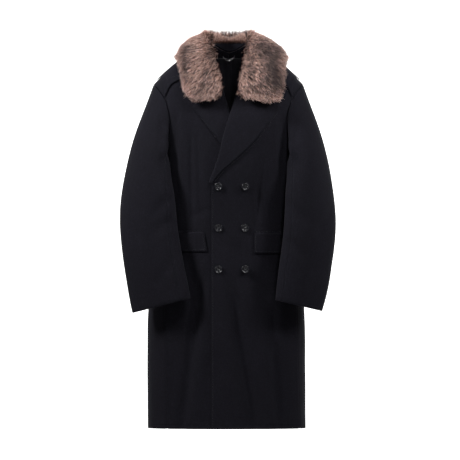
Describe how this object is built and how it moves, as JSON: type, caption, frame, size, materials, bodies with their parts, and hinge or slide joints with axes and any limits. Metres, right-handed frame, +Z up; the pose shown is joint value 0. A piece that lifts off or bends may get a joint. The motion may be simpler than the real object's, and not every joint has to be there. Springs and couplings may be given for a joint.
{
  "type": "military coat",
  "caption": "Long double-breasted wool military coat with a fur collar, wide lapels, shoulder straps and flap pockets, hollow as if worn.",
  "frame": {"origin": "neck base of the coat, midway between the two points where neck and shoulder seams meet, where the wearer's shoulders carry it", "axes": "+Z up along the wearer, the front faces -Y, +X is the wearer's left"},
  "size_m": [0.6187, 0.2936, 1.1347],
  "materials": {
    "wool": "black felted melton wool with a short nap",
    "lining": "black satin-faced lining",
    "fur": "long soft fur, dusty pink-brown with dark patches and light tips",
    "button": "dark grey horn-like, half gloss",
    "chain": "small bright links"
  },
  "bodies": {
    "root": {"front_left": "wool", "front_right": "wool", "side_left": "wool", "side_right": "wool", "back_left": "wool", "back_right": "wool", "vent_underlap": "wool", "sleeve_left_top": "wool", "sleeve_left_under": "wool", "sleeve_right_top": "wool", "sleeve_right_under": "wool", "lapel_left": "wool", "lapel_right": "wool", "epaulette_left": "wool", "epaulette_right": "wool", "flap_left": "wool", "flap_right": "wool", "collar_stand": "wool", "collar_fur": "fur", "lining_back": "lining", "hanger_chain": "chain", "button_1": "button", "button_2": "button", "button_3": "button", "button_4": "button", "button_5": "button", "button_6": "button"}
  },
  "joints": []
}
